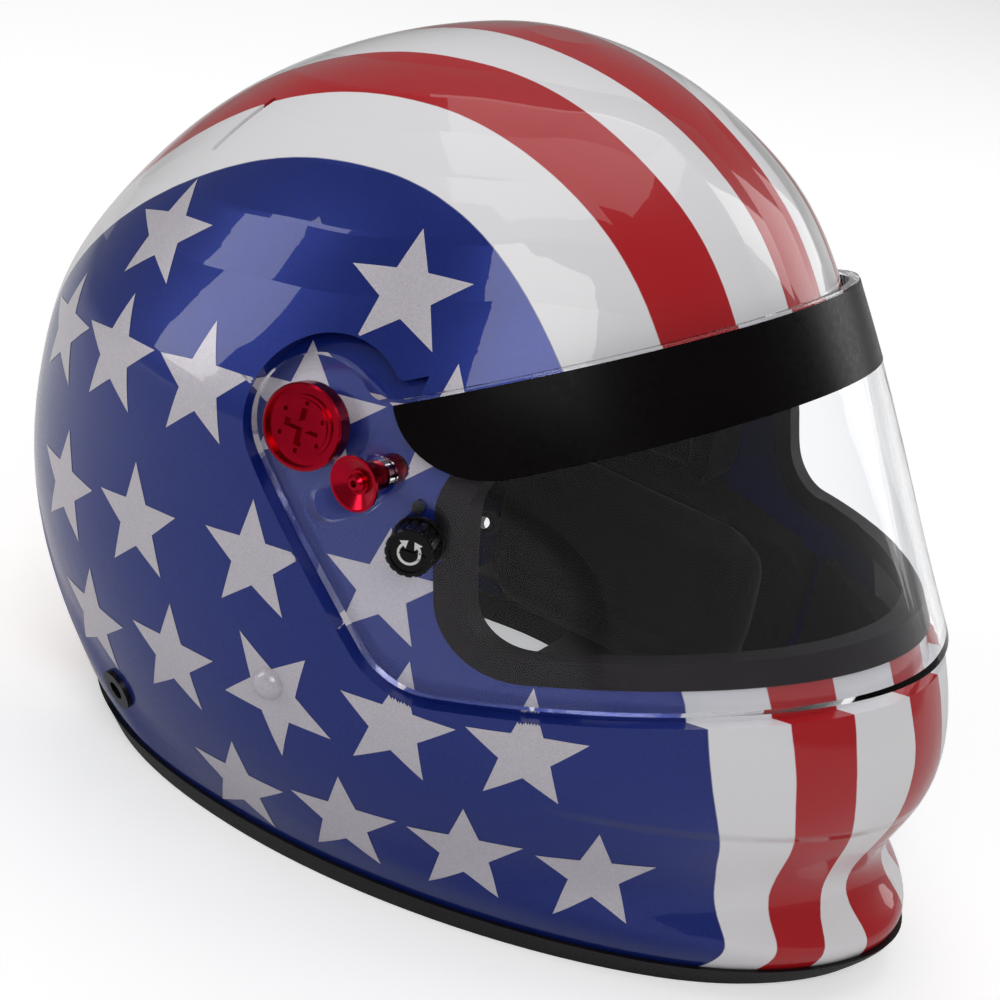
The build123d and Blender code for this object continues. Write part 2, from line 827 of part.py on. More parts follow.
def dome(seat, radius, height, lift):
    """A domed button on a seat, its base sunk by the lift for trimming to a form."""
    section = Plane(origin=seat.origin, x_dir=seat.x_dir, z_dir=seat.x_dir.cross(seat.z_dir))
    with BuildPart() as button:
        with BuildSketch(section):
            with BuildLine():
                arc = ThreePointArc((0, height), (radius * dome_share, height * dome_share), (radius, 0))
                Polyline(arc @ 1, (radius, -lift), (0, -lift), arc @ 0)
            make_face()
        revolve(axis=Axis(seat.origin, seat.z_dir))
    return button.part


# Strap rivets and the plates behind them
with BuildPart() as strap_rivets:
    for side in (LEFT, RIGHT):
        add(dome(rivet_seats[side], rivet_head_radius, rivet_head, shell_wall / 2))
    add(outer_form, mode=Mode.SUBTRACT)
    for side in (LEFT, RIGHT):
        add(bore(rivet_seats[side], rivet_shank_radius, rivet_length, rivet_head / 2))
        add(bore(rivet_seats[side], rivet_tail_radius, rivet_length, rivet_tail - rivet_length))
save(strap_rivets, "strap_rivets")

with BuildPart() as strap_anchors:
    for side in (LEFT, RIGHT):
        with BuildSketch(rivet_seats[side].offset(-shell_wall - anchor_thick - anchor_drop)):
            RectangleRounded(anchor_width, anchor_height, rivet_head_radius)
        extrude(amount=anchor_thick + anchor_drop)
    add(shell_form(shell_wall + seat_gap), mode=Mode.INTERSECT)
    for side in (LEFT, RIGHT):
        add(bore(rivet_seats[side], rivet_shank_radius + seat_gap, overrun, overrun), mode=Mode.SUBTRACT)
save(strap_anchors, "strap_anchors")


def strap(side, thick, width, end_x):
    """Webbing from the rivet down the side and in under the pads."""
    with BuildPart() as webbing:
        with BuildSketch(Plane.XZ.offset(-rivet_y)):
            with BuildLine():
                FilletPolyline(
                    (side * strap_top_x, rivet_z + anchor_height / 2 - strap_thick),
                    (side * strap_upper_x, strap_bend_z),
                    (side * strap_lower_x, strap_z + strap_drop),
                    (side * strap_turn_x, strap_z),
                    (side * end_x, strap_z),
                    radius=strap_bend_radius,
                )
                offset(amount=thick / 2, side=Side.BOTH)
            make_face()
        extrude(amount=width / 2, both=True)
    return webbing.part


# Chin straps, the right one ending in a loop round the two rings
for side in (LEFT, RIGHT):
    end_x = loop_x + loop_reach if side == RIGHT else strap_end_x
    with BuildPart() as chin_strap:
        add(strap(side, strap_thick, strap_width, end_x))
        if side == RIGHT:
            with BuildSketch(Plane.XZ.offset(-rivet_y)):
                with Locations((side * loop_x, strap_z)):
                    SlotOverall(loop_height + 2 * strap_thick, loop_width + 2 * strap_thick, rotation=90)
            extrude(amount=strap_width / 2, both=True)
            with BuildSketch(Plane.XZ.offset(-rivet_y)):
                with Locations((side * loop_x, strap_z)):
                    SlotOverall(loop_height, loop_width, rotation=90)
            extrude(amount=strap_width / 2, both=True, mode=Mode.SUBTRACT)
        add(bore(rivet_seats[side], rivet_shank_radius + seat_gap, overrun, overrun), mode=Mode.SUBTRACT)
    save(chin_strap, f"chin_strap_{side_names[side]}")


def strap_ring(lift):
    """One ring of bent wire, its straight bar in the loop of the strap."""
    level = Plane.XY.offset(strap_z + lift)
    half_width = (ring_inner_width + ring_wire) / 2
    bar_x = RIGHT * loop_x
    with BuildSketch(level) as outline:
        with Locations((bar_x + ring_depth / 2, rivet_y)):
            Rectangle(ring_depth, 2 * half_width)
        far = outline.vertices().filter_by(lambda corner: corner.X > bar_x + ring_depth / 2)
        near = outline.vertices().filter_by(lambda corner: corner.X < bar_x + ring_depth / 2)
        fillet(far, ring_bow_radius)
        fillet(near, ring_corner_radius)
    path = outline.sketch.faces()[0].outer_wire()
    with BuildPart() as ring:
        with BuildSketch(Plane(origin=path @ 0, z_dir=path % 0)):
            Circle(ring_wire / 2)
        sweep(path=path, transition=Transition.RIGHT)
    return ring


d_ring_upper = strap_ring(ring_lift)
save(d_ring_upper, "d_ring_upper")
d_ring_lower = strap_ring(-ring_lift)
save(d_ring_lower, "d_ring_lower")

# Inserts for head restraint tethers, threaded past a plain lead through the shell wall
with BuildPart() as tether_inserts:
    for side in (LEFT, RIGHT):
        add(bore(tether_seats[side], tether_flange_radius, tether_flange, tether_flange))
    add(outer_form, mode=Mode.SUBTRACT)
    for side in (LEFT, RIGHT):
        add(bore(tether_seats[side], tether_body_radius, tether_length, tether_flange))
    for side in (LEFT, RIGHT):
        add(bore(tether_seats[side], tether_bore_radius, overrun, overrun), mode=Mode.SUBTRACT)
        add(bore(tether_seats[side], tether_lead_radius, tether_lead, overrun), mode=Mode.SUBTRACT)
save(tether_inserts, "tether_inserts")


def head_zone(shrink):
    """Side view of the zone over the head that the crown liner fills."""
    brow = raised(visor_top, -top_edge_angle, brow_margin - eyeport_below_top)
    nape_y = block_rear_y + brow_margin / 2
    with BuildSketch() as outline:
        with BuildLine():
            Polyline(
                (far_rear, liner_nape_z),
                (nape_y, liner_nape_z),
                (nape_y, liner_low_z),
                (face_y, liner_low_z),
                (face_y, rising(brow, -top_edge_angle, face_y)),
                (far_front, rising(brow, -top_edge_angle, far_front)),
                (far_front, 2 * shell_height),
                (far_rear, 2 * shell_height),
                close=True,
            )
        make_face()
        lower = outline.vertices().sort_by_distance((face_y, liner_low_z))[0]
        fillet(lower, liner_corner_radius)
        if shrink:
            offset(amount=-shrink)
    return outline.sketch_local


# Foam over the head, with room for the hinge flanges and the nuts
with BuildPart() as crown_liner:
    add(inner_form)
    add(shell_form(liner_in), mode=Mode.SUBTRACT)
    add(across(head_zone(0)), mode=Mode.INTERSECT)
    for side in (LEFT, RIGHT):
        post_room = wall_in + post_flange + fit_gap
        add(bore(post_seats[side], post_flange_radius + fit_gap, post_room, overrun), mode=Mode.SUBTRACT)
        nut_room = wall_in + nut_depth + 2 * fit_gap
        add(bore(guide_floors[side], guide_neck_radius + 2 * fit_gap, nut_room, overrun), mode=Mode.SUBTRACT)
        flange_room = wall_in + nut_flange + fit_gap
        add(bore(nut_seats[side], nut_flange_radius + 2 * fit_gap, flange_room, overrun), mode=Mode.SUBTRACT)
save(crown_liner, "crown_liner")

with BuildPart() as comfort_liner:
    add(shell_form(liner_in + soft_gap))
    add(shell_form(liner_in + comfort_thick), mode=Mode.SUBTRACT)
    add(across(head_zone(comfort_margin)), mode=Mode.INTERSECT)
save(comfort_liner, "comfort_liner")

with BuildPart() as chin_liner:
    add(inner_form)
    add(shell_form(chin_liner_thick), mode=Mode.SUBTRACT)
    front_zone = side_block(far_front, chin_liner_rear_y, chin_liner_low_z, chin_liner_high_z, snap_radius)
    add(front_zone, mode=Mode.INTERSECT)
save(chin_liner, "chin_liner")

with BuildPart() as neck_roll:
    add(shell_form(wall_in))
    add(shell_form(wall_in + roll_thick), mode=Mode.SUBTRACT)
    add(side_block(roll_front_y, far_rear, roll_low_z, roll_high_z, roll_corner), mode=Mode.INTERSECT)
    fillet(neck_roll.edges().filter_by_position(Axis.Z, roll_low_z, roll_low_z + 1), roll_soft_radius)
save(neck_roll, "neck_roll")

# Side foam and the soft pads that snap on it
stud_places = [(y, z) for y in snap_ys for z in snap_zs]
for side in (LEFT, RIGHT):
    with BuildPart() as cheek_block:
        add(inner_form)
        add(side_block(block_front_y, block_rear_y, block_low_z, block_high_z, liner_corner_radius), mode=Mode.INTERSECT)
        add(one_side(side, block_inner_x), mode=Mode.INTERSECT)
        add(strap(side, strap_thick + 2 * strap_room, strap_width + 2 * strap_room, strap_end_x), mode=Mode.SUBTRACT)
        with BuildSketch(rivet_seats[side].offset(-rivet_length - strap_room)):
            Rectangle(anchor_width + 2 * strap_room, anchor_height + 2 * strap_room)
        extrude(amount=overrun, mode=Mode.SUBTRACT)
        for place_y, place_z in stud_places:
            stud = Plane(origin=(side * block_inner_x, place_y, place_z), z_dir=(side, 0, 0))
            add(bore(stud, snap_radius + seat_gap, snap_height, snap_height + seat_gap), mode=Mode.SUBTRACT)
    save(cheek_block, f"cheek_block_{side_names[side]}")
    with BuildPart() as cheek_pad:
        for share, shrink in zip(pad_level_shares, pad_shrink_shares):
            level_x = side * (block_inner_x - soft_gap - share * pad_thick)
            with BuildSketch(Plane(origin=(level_x, 0, 0), x_dir=(0, 1, 0), z_dir=(1, 0, 0))):
                with Locations(((pad_front_y + pad_rear_y) / 2, (pad_low_z + pad_high_z) / 2)):
                    RectangleRounded(
                        pad_rear_y - pad_front_y - shrink * pad_crown,
                        pad_high_z - pad_low_z - shrink * pad_crown,
                        pad_corner_radius - shrink * pad_crown / 2,
                    )
        loft()
        for place_y, place_z in stud_places:
            stud = Plane(origin=(side * block_inner_x, place_y, place_z), z_dir=(side, 0, 0))
            add(bore(stud, snap_radius + seat_gap, snap_height + seat_gap, snap_height), mode=Mode.SUBTRACT)
    save(cheek_pad, f"cheek_pad_{side_names[side]}")
with BuildPart() as pad_snaps:
    for side in (LEFT, RIGHT):
        for place_y, place_z in stud_places:
            stud = Plane(origin=(side * block_inner_x, place_y, place_z), z_dir=(side, 0, 0))
            add(bore(stud, snap_radius, snap_height, snap_height))
save(pad_snaps, "pad_snaps")
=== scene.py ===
import math

import bmesh
import bpy
from mathutils import Matrix, Vector
from mathutils.bvhtree import BVHTree


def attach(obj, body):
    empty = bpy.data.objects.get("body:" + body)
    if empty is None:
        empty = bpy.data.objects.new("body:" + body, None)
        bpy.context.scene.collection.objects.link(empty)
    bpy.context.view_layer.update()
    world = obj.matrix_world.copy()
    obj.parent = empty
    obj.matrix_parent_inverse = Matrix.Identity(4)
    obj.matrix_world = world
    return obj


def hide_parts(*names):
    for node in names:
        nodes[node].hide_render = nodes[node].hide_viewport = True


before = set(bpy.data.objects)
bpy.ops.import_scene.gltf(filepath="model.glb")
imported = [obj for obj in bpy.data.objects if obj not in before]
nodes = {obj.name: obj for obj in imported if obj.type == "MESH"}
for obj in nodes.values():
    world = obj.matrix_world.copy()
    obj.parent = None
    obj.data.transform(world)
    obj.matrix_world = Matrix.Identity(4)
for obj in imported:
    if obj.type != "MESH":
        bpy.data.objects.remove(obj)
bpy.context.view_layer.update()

scene = bpy.context.scene

# Camera matched to the photograph

CAMERA_PLACE = (-0.5560, -0.3221, 0.3880)
CAMERA_RIGHT = (0.56661, -0.80377, 0.18139)
CAMERA_UP = (0.24582, 0.37501, 0.89383)
CAMERA_BACK = (-0.78646, -0.46187, 0.41007)
FOCAL_PIXELS = 2086.5
PICTURE_PIXELS = 1000.0
SENSOR_MM = 36.0
CLIP_NEAR = 0.01
CLIP_FAR = 50.0

camera_data = bpy.data.cameras.new("camera")
camera = bpy.data.objects.new("camera", camera_data)
scene.collection.objects.link(camera)
camera_data.sensor_width = SENSOR_MM
camera_data.lens = FOCAL_PIXELS / PICTURE_PIXELS * SENSOR_MM
camera_data.clip_start = CLIP_NEAR
camera_data.clip_end = CLIP_FAR
camera_axes = Matrix((CAMERA_RIGHT, CAMERA_UP, CAMERA_BACK)).transposed()
camera.matrix_world = Matrix.Translation(CAMERA_PLACE) @ camera_axes.to_4x4()
scene.camera = camera


def sight(x, y):
    """Direction from the camera through a pixel of the photograph."""
    right = (x - PICTURE_PIXELS / 2) / FOCAL_PIXELS
    up = (PICTURE_PIXELS / 2 - y) / FOCAL_PIXELS
    return (Vector(CAMERA_RIGHT) * right + Vector(CAMERA_UP) * up - Vector(CAMERA_BACK)).normalized()


# Short ways to build node materials

class Shader:
    """A new node material with its coordinates and output."""

    def __init__(self, name):
        self.material = bpy.data.materials.new(name)
        self.material.use_nodes = True
        self.tree = self.material.node_tree
        self.tree.nodes.clear()
        self.out = self.node("ShaderNodeOutputMaterial")
        self.place = self.node("ShaderNodeTexCoord").outputs["Object"]

    def node(self, kind, **values):
        made = self.tree.nodes.new(kind)
        for key, value in values.items():
            setattr(made, key, value)
        return made

    def set(self, socket, value):
        if isinstance(value, bpy.types.NodeSocket):
            self.tree.links.new(value, socket)
        else:
            socket.default_value = value

    def math(self, operation, *values):
        made = self.node("ShaderNodeMath", operation=operation)
        for socket, value in zip(made.inputs, values):
            self.set(socket, value)
        return made.outputs[0]

    def noise(self, scale, detail=2.0, rough=0.5, stretch=None):
        made = self.node("ShaderNodeTexNoise")
        made.inputs["Scale"].default_value = scale
        made.inputs["Detail"].default_value = detail
        made.inputs["Roughness"].default_value = rough
        self.set(made.inputs["Vector"], self.stretched(stretch))
        return made.outputs["Fac"]

    def stretched(self, stretch):
        if not stretch:
            return self.place
        mapping = self.node("ShaderNodeMapping")
        mapping.inputs["Scale"].default_value = stretch
        self.set(mapping.inputs["Vector"], self.place)
        return mapping.outputs["Vector"]

    def cells(self, scale):
        """Random tones, one for each small cell, and the distance to its middle."""
        made = self.node("ShaderNodeTexVoronoi", feature="F1")
        made.inputs["Scale"].default_value = scale
        self.set(made.inputs["Vector"], self.place)
        tones = self.node("ShaderNodeSeparateColor")
        self.set(tones.inputs[0], made.outputs["Color"])
        return tones.outputs[0], tones.outputs[1], made.outputs["Distance"]

    def ramp(self, factor, low, high, start=0.0, end=1.0, smooth=False):
        made = self.node("ShaderNodeMapRange", clamp=True)
        if smooth:
            made.interpolation_type = "SMOOTHSTEP"
        self.set(made.inputs["Value"], factor)
        for name, value in (("From Min", start), ("From Max", end), ("To Min", low), ("To Max", high)):
            made.inputs[name].default_value = value
        return made.outputs["Result"]

    def curve(self, value, points, reach):
        """A smooth line through points, each of which has its place and its height shared by reach."""
        made = self.node("ShaderNodeFloatCurve")
        made.mapping.extend = "HORIZONTAL"
        line = made.mapping.curves[0]
        for k, (x, y) in enumerate(points):
            if k < 2:
                line.points[k].location = (x / reach, y / reach)
            else:
                line.points.new(x / reach, y / reach)
        made.mapping.update()
        self.set(made.inputs["Value"], self.math("DIVIDE", value, reach))
        return self.math("MULTIPLY", made.outputs[0], reach)

    def mix(self, factor, first, second):
        made = self.node("ShaderNodeMix", data_type="RGBA")
        for socket, value in ((made.inputs[0], factor), (made.inputs[6], first), (made.inputs[7], second)):
            self.set(socket, value)
        return made.outputs[2]

    def bump(self, height, strength=1.0, distance=1.0):
        made = self.node("ShaderNodeBump")
        made.inputs["Strength"].default_value = strength
        made.inputs["Distance"].default_value = distance
        self.set(made.inputs["Height"], height)
        return made.outputs["Normal"]

    def surface(self, **values):
        made = self.node("ShaderNodeBsdfPrincipled")
        for key, value in values.items():
            self.set(made.inputs[key.replace("_", " ")], value)
        self.tree.links.new(made.outputs[0], self.out.inputs["Surface"])
        return made


def shade(colour, share):
    """A colour made darker or lighter by a share."""
    return tuple(min(1.0, c * share) for c in colour[:3]) + (1.0,)


def moulded(name, colour, rough, grain=900.0, relief=0.00003, gloss=0.35, spread=0.2):
    """Moulded rubber or plastic: fine grain, slow change of tone."""
    s = Shader(name)
    fine = s.noise(grain, 3.0)
    tone = s.ramp(s.noise(grain / 18.0), 0.0, 1.0, 0.35, 0.65)
    s.surface(
        Base_Color=s.mix(tone, shade(colour, 1 - spread), shade(colour, 1 + spread)),
        Roughness=s.ramp(fine, rough * 0.85, min(1.0, rough * 1.15), 0.3, 0.7),
        Specular_IOR_Level=gloss,
        Normal=s.bump(fine, 0.5, relief),
    )
    return s.material


def metal(name, colour, rough, stretch=None, relief=0.00001):
    """Turned or plated metal: fine lines and a slow change of tone."""
    s = Shader(name)
    lines = s.noise(2600.0, 2.0, 0.6, stretch)
    tone = s.ramp(s.noise(60.0), 0.0, 1.0, 0.3, 0.7)
    s.surface(
        Base_Color=s.mix(tone, shade(colour, 0.8), shade(colour, 1.15)),
        Roughness=s.ramp(lines, rough * 0.8, rough * 1.3, 0.3, 0.7),
        Metallic=1.0,
        Normal=s.bump(lines, 0.4, relief),
    )
    return s.material


def cloth(name, colour, loops=1500.0, fuzz=0.25, relief=0.0002):
    """Knitted fabric: small loops, pile and a slow change of tone."""
    s = Shader(name)
    loop = s.cells(loops)[2]
    pile = s.noise(loops / 3.0, 3.0, 0.6)
    tone = s.math("MULTIPLY_ADD", s.math("ADD", pile, s.noise(18.0, 3.0)), 0.5, 0.0)
    s.surface(
        Base_Color=s.mix(s.ramp(tone, 0.0, 1.0, 0.35, 0.65), shade(colour, 0.65), shade(colour, 1.45)),
        Roughness=0.95,
        Specular_IOR_Level=0.2,
        Sheen_Weight=fuzz,
        Sheen_Roughness=0.5,
        Normal=s.bump(s.math("ADD", loop, pile), 0.6, relief),
    )
    return s.material


# Paint of the shell, its stripes set by the distance to the middle

BLUE = (0.006, 0.022, 0.205, 1.0)
RED = (0.470, 0.006, 0.012, 1.0)
WHITE = (0.880, 0.865, 0.885, 1.0)
SILVER = (0.600, 0.565, 0.620, 1.0)
PAINT_EDGE = 0.0003

# Half widths in mm of the four stripe edges, front to rear over the crown
CROWN_YS = (-82, -45, -10, 30, 90, 170)
CROWN_EDGES = (
    (10.7, 12.0, 15.0, 16.8, 17.5, 18.0),
    (33.6, 34.2, 35.5, 40.0, 46.0, 48.0),
    (56.8, 58.0, 59.3, 61.8, 67.5, 70.0),
    (79.9, 80.5, 80.6, 82.5, 86.0, 88.0),
)

# Half widths in mm of the same edges, low to high on the chin
CHIN_ZS = (0, 20, 33, 52, 72, 84, 97)
CHIN_EDGES = (
    (13.5, 13.2, 13.0, 12.3, 11.3, 10.0, 10.6),
    (28.5, 28.3, 23.2, 26.2, 31.9, 33.2, 33.0),
    (42.0, 41.4, 39.8, 43.0, 49.0, 50.4, 51.3),
    (53.5, 53.0, 53.2, 59.7, 67.0, 69.3, 70.0),
)

# Sculpted lines of the shell in mm: along, and height or distance to the middle
SIDE_RIDGE = (
    (-60, 217), (-37, 216), (-18, 211), (-5, 209), (14, 205), (35, 202), (59, 198), (80, 196), (110, 186),
)
CROWN_RIDGE = ((-40, 20), (-22, 32), (-13, 41), (4, 51), (30, 60), (56, 60), (86, 44), (110, 20))
REAR_RIDGE = (
    (10, 24), (32, 26), (46, 29), (61, 34), (73, 41), (88, 50), (106, 60), (120, 75), (150, 95),
)
CHIN_RIDGE_Z = 0.0605
RIDGE_SHIFT = 0.07
RIDGE_REACH = 0.25
CROWN_SHIFT = 0.1
CROWN_REACH = 0.3
CHIN_REACH = 0.1

# Widths and heights of the sculpted lines, in m
RIDGE_TOP = 0.0006
SIDE_CREST = (0.016, 0.0022)
CROWN_CREST = (0.014, 0.0018)
FLARE_RISE = 0.0045
FLARE_RUN = 0.03
CHIN_RISE = 0.0008
CHIN_RUN = 0.002
PEEL_RISE = 0.000012


def in_metres(points, shift):
    """Points in mm as metres, moved along so that none lies below zero."""
    return [(along / 1000 + shift, height / 1000) for along, height in points]


def helmet_paint():
    """Red and white stripes over the middle, metallic blue beside them, clear coat on all."""
    s = Shader("helmet_paint")
    split = s.node("ShaderNodeSeparateXYZ")
    s.set(split.inputs[0], s.place)
    x, y, z = split.outputs
    off = s.math("ABSOLUTE", x)
    along = s.math("ADD", y, CROWN_SHIFT)
    low_front = s.math("MULTIPLY", s.ramp(z, 1.0, 0.0, 0.10, 0.17), s.ramp(y, 1.0, 0.0, -0.04, 0.0))
    edges = []
    for crown, chin in zip(CROWN_EDGES, CHIN_EDGES):
        high = s.curve(along, in_metres(zip(CROWN_YS, crown), CROWN_SHIFT), CROWN_REACH)
        low = s.curve(z, in_metres(zip(CHIN_ZS, chin), 0.0), CHIN_REACH)
        blend = s.node("ShaderNodeMix", data_type="FLOAT")
        for socket, value in zip((blend.inputs[0], blend.inputs[2], blend.inputs[3]), (low_front, high, low)):
            s.set(socket, value)
        edges.append(blend.outputs[0])
    glint, rough, _ = s.cells(3800.0)
    blue = s.mix(glint, shade(BLUE, 0.75), shade(BLUE, 1.3))
    colour = s.mix(s.ramp(s.noise(9.0), 0.0, 0.5, 0.3, 0.7), blue, BLUE)
    for edge, band in zip(reversed(edges), (WHITE, RED, WHITE, RED)):
        inside = s.math("SUBTRACT", edge, off)
        colour = s.mix(s.ramp(inside, 0.0, 1.0, -PAINT_EDGE / 2, PAINT_EDGE / 2), colour, band)
    flake = s.ramp(s.math("SUBTRACT", off, edges[-1]), 0.0, 0.4, 0.0, PAINT_EDGE)

    def line(value, points):
        return s.curve(s.math("ADD", value, RIDGE_SHIFT), in_metres(points, RIDGE_SHIFT), RIDGE_REACH)

    def crest(gap, size, mask):
        width, height = size
        roof = s.ramp(s.math("ABSOLUTE", gap), 1.0, 0.0, RIDGE_TOP, width)
        return s.math("MULTIPLY", s.math("MULTIPLY", roof, height), mask)

    side = crest(s.math("SUBTRACT", z, line(y, SIDE_RIDGE)), SIDE_CREST, s.ramp(off, 0, 1, 0.055, 0.075))
    crown = crest(s.math("SUBTRACT", off, line(y, CROWN_RIDGE)), CROWN_CREST, s.ramp(z, 0, 1, 0.2, 0.22))
    flare = s.ramp(s.math("SUBTRACT", line(y, REAR_RIDGE), z), 0.0, FLARE_RISE, 0.0, FLARE_RUN, smooth=True)
    flare = s.math("MULTIPLY", flare, s.ramp(y, 0.0, 1.0, 0.02, 0.07, smooth=True))
    chin = s.ramp(s.math("SUBTRACT", z, CHIN_RIDGE_Z), 0.0, CHIN_RISE, -CHIN_RUN, CHIN_RUN, smooth=True)
    chin = s.math("MULTIPLY", chin, s.ramp(y, 1.0, 0.0, -0.10, -0.08))
    relief = s.math("ADD", s.math("ADD", side, crown), s.math("ADD", flare, chin))
    peel = s.math("MULTIPLY", s.noise(90.0), PEEL_RISE)
    made = s.surface(
        Base_Color=colour,
        Metallic=flake,
        Roughness=s.ramp(rough, 0.30, 0.42),
        Specular_IOR_Level=0.2,
        Normal=s.bump(relief),
        Coat_Weight=1.0,
        Coat_Roughness=0.015,
        Coat_IOR=1.38,
    )
    s.set(made.inputs["Coat Normal"], s.bump(s.math("ADD", relief, peel)))
    return s.material


def star_paint():
    """Pale silver metallic paint under the same clear coat."""
    s = Shader("star_silver")
    glint, rough, _ = s.cells(3400.0)
    s.surface(
        Base_Color=s.mix(glint, shade(SILVER, 0.9), shade(SILVER, 1.1)),
        Metallic=0.25,
        Roughness=s.ramp(rough, 0.32, 0.45),
        Specular_IOR_Level=0.2,
        Coat_Weight=1.0,
        Coat_Roughness=0.015,
        Coat_IOR=1.38,
    )
    return s.material


def clear_sheet():
    """Clear polycarbonate that lets lamp light through to what is behind it."""
    s = Shader("visor_clear")
    haze = s.noise(35.0)
    made = s.surface(
        Base_Color=(0.97, 0.975, 0.985, 1.0),
        Roughness=s.ramp(haze, 0.004, 0.009, 0.3, 0.7),
        IOR=1.22,
        Transmission_Weight=1.0,
    )
    light = s.node("ShaderNodeLightPath")
    clear = s.node("ShaderNodeBsdfTransparent")
    clear.inputs[0].default_value = (0.93, 0.94, 0.96, 1.0)
    both = s.node("ShaderNodeMixShader")
    s.set(both.inputs[0], s.math("MAXIMUM", light.outputs["Is Shadow Ray"], light.outputs["Is Diffuse Ray"]))
    s.set(both.inputs[1], made.outputs[0])
    s.set(both.inputs[2], clear.outputs[0])
    s.set(s.out.inputs["Surface"], both.outputs[0])
    return s.material


RIBS_PER_M = 700
ROWS_PER_M = 450


def woven():
    """Nylon webbing: ribs across the band and twill along it, from the band's own coordinates."""
    s = Shader("webbing")
    split = s.node("ShaderNodeSeparateXYZ")
    s.set(split.inputs[0], s.node("ShaderNodeTexCoord").outputs["UV"])
    ribs = s.math("SINE", s.math("MULTIPLY", split.outputs[0], 2 * math.pi * RIBS_PER_M))
    rows = s.math("SINE", s.math("MULTIPLY", split.outputs[1], 2 * math.pi * ROWS_PER_M))
    weave = s.math("MULTIPLY", ribs, rows)
    # The colour follows the weave's height: darker where the weave sinks, painted shade in its hollows.
    tone = s.ramp(weave, 0.0, 1.0, -1.0, 1.0)
    s.surface(
        Base_Color=s.mix(tone, (0.006, 0.006, 0.007, 1.0), (0.022, 0.022, 0.025, 1.0)),
        Roughness=0.8,
        Specular_IOR_Level=0.3,
        Sheen_Weight=0.15,
        Normal=s.bump(weave, 0.7, 0.00015),
    )
    return s.material


paint = helmet_paint()
silver = star_paint()
visor_clear = clear_sheet()
strip_black = moulded("strip_black", (0.0026, 0.0016, 0.0018), 0.30, grain=500.0, relief=0.000005, gloss=0.08)
rubber = moulded("black_rubber", (0.012, 0.009, 0.011), 0.60, grain=1300.0, relief=0.00006, gloss=0.12)
bead_rubber = moulded("bead_rubber", (0.008, 0.007, 0.008), 0.50, grain=1300.0, relief=0.00006, gloss=0.3)
red_metal = metal("red_anodised", (0.46, 0.006, 0.024), 0.2)
black_plastic = moulded("black_plastic", (0.0022, 0.0018, 0.0022), 0.28, grain=700.0, relief=1e-5, gloss=0.2)
black_metal = metal("black_metal", (0.025, 0.025, 0.028), 0.35)
steel = metal("zinc_steel", (0.56, 0.56, 0.58), 0.33, (1.0, 0.4, 0.4))
alloy = metal("alloy", (0.70, 0.70, 0.72), 0.30, (0.3, 1.0, 1.0))
foam = moulded("black_foam", (0.008, 0.007, 0.008), 0.85, grain=420.0, relief=0.0006, gloss=0.15, spread=0.4)
fabric = cloth("liner_fabric", (0.0075, 0.0062, 0.0072), fuzz=0.08)
webbing = woven()
thread = moulded("black_thread", (0.02, 0.02, 0.022), 0.7, grain=2500.0, relief=0.00008, gloss=0.2)
white_mark = moulded("white_mark", (0.72, 0.72, 0.72), 0.45, grain=800.0, relief=0.000005, spread=0.05)

FINISHES = (
    (paint, ("outer_shell",)),
    (silver, ("strap_rivets",)),
    (bead_rubber, ("base_bead",)),
    (rubber, ("eyeport_gasket",)),
    (foam, ("crown_liner", "chin_liner", "cheek_block_right", "cheek_block_left")),
    (fabric, ("comfort_liner", "cheek_pad_right", "cheek_pad_left", "neck_roll")),
    (black_plastic, ("pad_snaps", "lock_flange", "lock_knob")),
    (alloy, ("pivot_post_right", "pivot_post_left")),
    (red_metal, ("guide_cup_right", "guide_cup_left", "guide_screws", "pivot_disc_right", "pivot_disc_left")),
    (steel, ("guide_nuts", "strap_anchors", "lock_cam", "d_ring_upper", "d_ring_lower")),
    (webbing, ("chin_strap_right", "chin_strap_left")),
    (black_metal, ("tether_inserts", "lock_keeper")),
    (visor_clear, ("visor",)),
    (strip_black, ("sun_strip",)),
)
for material, names in FINISHES:
    for name in names:
        mesh = nodes[name].data
        mesh.materials.clear()
        mesh.materials.append(material)


def tree_of(*names):
    """One search tree over the faces of several CAD pieces."""
    points = []
    faces = []
    for name in names:
        first = len(points)
        mesh = nodes[name].data
        points.extend(v.co.copy() for v in mesh.vertices)
        faces.extend([first + i for i in p.vertices] for p in mesh.polygons)
    return BVHTree.FromPolygons(points, faces)


def piece(name, mesh, material, body):
    """A new visible piece with its finish, carried by a body."""
    mesh.materials.clear()
    mesh.materials.append(material)
    for polygon in mesh.polygons:
        polygon.use_smooth = True
    made = bpy.data.objects.new(name, mesh)
    scene.collection.objects.link(made)
    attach(made, body)
    return made


def meshed(name, build):
    """A bmesh as a mesh of its own."""
    mesh = bpy.data.meshes.new(name)
    build.to_mesh(mesh)
    build.free()
    return mesh


# Stars: middle and upper tip of each, in pixels of the photograph

STARS = {
    "crown_rear": (167, 232, 191, 189),
    "crown_middle": (266, 261, 289, 212),
    "crown_front": (407, 292, 421, 237),
    "edge_high": (66, 328, 76, 284),
    "rear_high": (115, 353, 127, 302),
    "rear_middle": (199, 384, 210, 329),
    "hinge": (311, 411, 319, 356),
    "temple": (450, 432, 458, 378),
    "edge_middle": (65, 484, 67, 441),
    "rear_low": (136, 521, 135, 472),
    "ear": (252, 560, 253, 509),
    "edge_low": (94, 617, 88, 575),
    "jaw_rear": (172, 657, 166, 614),
    "rivet": (273, 695, 268, 649),
    "lock": (383, 588, 390, 540),
    "under_visor": (394, 728, 399, 685),
    "cheek_front": (525, 755, 530, 711),
    "chin_side": (464, 852, 464, 813),
    "chin_front": (594, 876, 599, 836),
    "hem_rear": (160, 742, 145, 707),
    "hem_middle": (240, 783, 230, 747),
    "hem_front": (344, 820, 339, 782),
}
STAR_LEAST = 0.019
STAR_MOST = 0.024
STAR_WAIST = 0.42
STAR_LIFT = 0.00012
STAR_CELLS = 15
